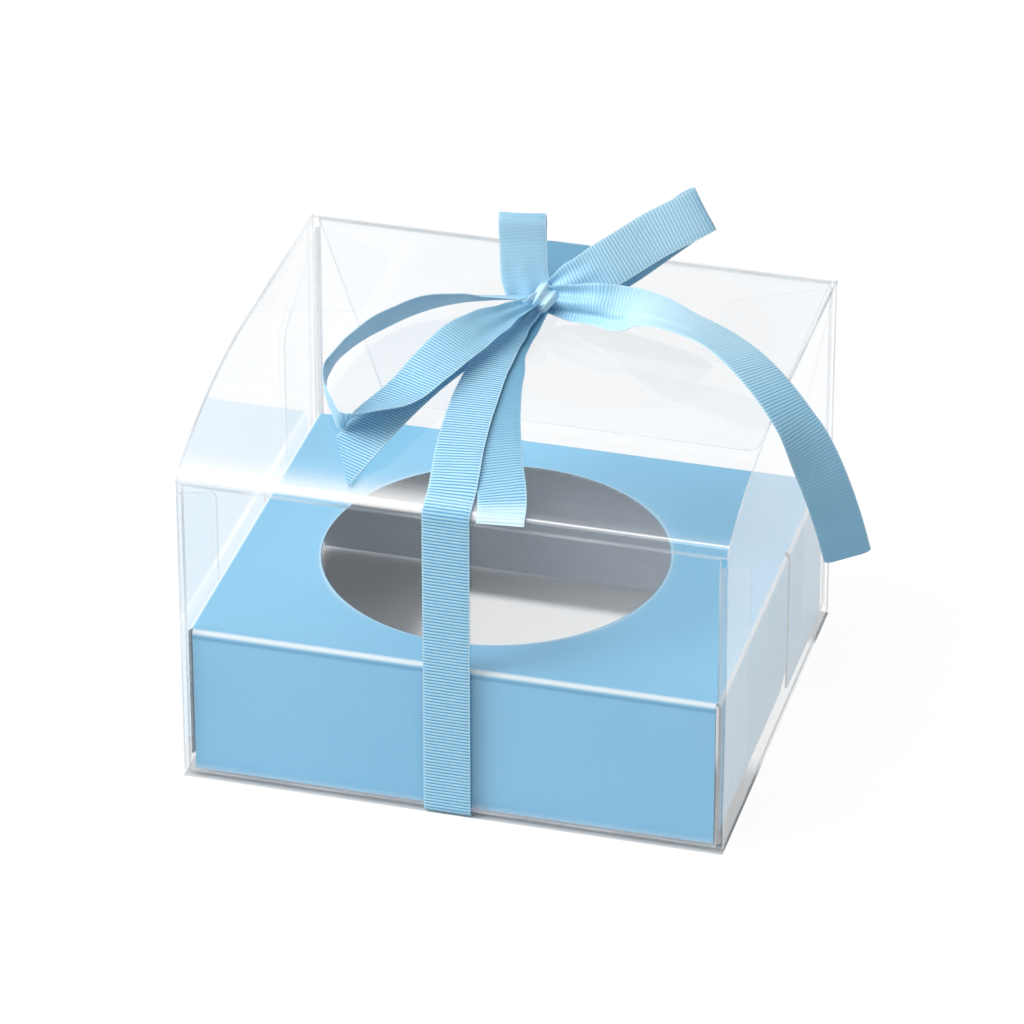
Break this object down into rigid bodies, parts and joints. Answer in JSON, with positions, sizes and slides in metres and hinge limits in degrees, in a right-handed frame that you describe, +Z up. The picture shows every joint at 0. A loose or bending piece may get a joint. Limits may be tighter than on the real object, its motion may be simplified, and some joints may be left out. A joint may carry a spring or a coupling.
{
  "type": "cupcake box",
  "caption": "Clear folded film box for a small cake, with tuck ends, a card insert with a round hole and a ribbon tied round it in a bow.",
  "frame": {"origin": "on the table, under the middle of the box, at the underside of the band's end that the box stands on", "axes": "+X to the right along the front, the long side; +Y from the front to the back; +Z up"},
  "size_m": [0.1298, 0.0953, 0.1019],
  "materials": {
    "film": "clear glossy film",
    "card": "matt light blue card",
    "ribbon": "ribbed light blue ribbon"
  },
  "bodies": {
    "box": {"sleeve_base": "film", "sleeve_front": "film", "sleeve_top": "film", "sleeve_back": "film", "sleeve_seam_flap": "film", "insert_top": "card", "insert_front_leg": "card", "insert_back_leg": "card", "insert_left_leg": "card", "insert_left_tab": "card", "insert_right_leg": "card", "insert_right_tab": "card"},
    "left_end": {"left_end_panel": "film"},
    "left_tuck": {"left_tuck_flap": "film"},
    "left_front_dust": {"left_front_dust_flap": "film"},
    "left_rear_dust": {"left_rear_dust_flap": "film"},
    "right_end": {"right_end_panel": "film"},
    "right_tuck": {"right_tuck_flap": "film"},
    "right_front_dust": {"right_front_dust_flap": "film"},
    "right_rear_dust": {"right_rear_dust_flap": "film"},
    "ribbon": {"ribbon_base": "ribbon", "ribbon_front": "ribbon", "ribbon_back": "ribbon", "ribbon_front_top": "ribbon", "ribbon_back_top": "ribbon", "ribbon_short_tail": "ribbon", "ribbon_left_tail": "ribbon", "ribbon_left_loop_upper": "ribbon", "ribbon_left_loop_lower": "ribbon", "ribbon_raised_loop": "ribbon", "ribbon_upright_loop": "ribbon", "ribbon_right_tail": "ribbon", "ribbon_knot": "ribbon"}
  },
  "joints": [
    {"name": "left_end_open", "type": "hinge", "parent": "box", "child": "left_end", "pos_m": [-0.05485, 0, 0.0011], "axis": [0, -1, 0], "range_deg": [0, 90]},
    {"name": "left_tuck_fold", "type": "hinge", "parent": "left_end", "child": "left_tuck", "pos_m": [-0.05485, 0.024, 0.0779], "axis": [0, 1, 0], "range_deg": [0, 22.5]},
    {"name": "left_front_dust_fold", "type": "hinge", "parent": "box", "child": "left_front_dust", "pos_m": [-0.05425, -0.04655, 0.03], "axis": [0, 0, 1], "range_deg": [0, 31.5]},
    {"name": "left_rear_dust_fold", "type": "hinge", "parent": "box", "child": "left_rear_dust", "pos_m": [-0.05425, 0.04655, 0.03], "axis": [0, 0, -1], "range_deg": [0, 31.5]},
    {"name": "right_end_open", "type": "hinge", "parent": "box", "child": "right_end", "pos_m": [0.05485, 0, 0.0011], "axis": [0, 1, 0], "range_deg": [0, 90], "deforming": ["ribbon_right_tail"]},
    {"name": "right_tuck_fold", "type": "hinge", "parent": "right_end", "child": "right_tuck", "pos_m": [0.05485, 0.024, 0.0779], "axis": [0, -1, 0], "range_deg": [0, 22.5]},
    {"name": "right_front_dust_fold", "type": "hinge", "parent": "box", "child": "right_front_dust", "pos_m": [0.05425, -0.04655, 0.03], "axis": [0, 0, -1], "range_deg": [0, 31.5]},
    {"name": "right_rear_dust_fold", "type": "hinge", "parent": "box", "child": "right_rear_dust", "pos_m": [0.05425, 0.04655, 0.03], "axis": [0, 0, 1], "range_deg": [0, 31.5]},
    {"name": "ribbon_slide", "type": "slide", "parent": "box", "child": "ribbon", "axis": [1, 0, 0], "range_m": [0, 0.1]}
  ],
  "couplings": [
    {"joint": "left_tuck_fold", "follows": "left_end_open", "ratio": 0.25},
    {"joint": "left_front_dust_fold", "follows": "left_end_open", "ratio": 0.35},
    {"joint": "left_rear_dust_fold", "follows": "left_end_open", "ratio": 0.35},
    {"joint": "right_tuck_fold", "follows": "right_end_open", "ratio": 0.25},
    {"joint": "right_front_dust_fold", "follows": "right_end_open", "ratio": 0.35},
    {"joint": "right_rear_dust_fold", "follows": "right_end_open", "ratio": 0.35}
  ]
}
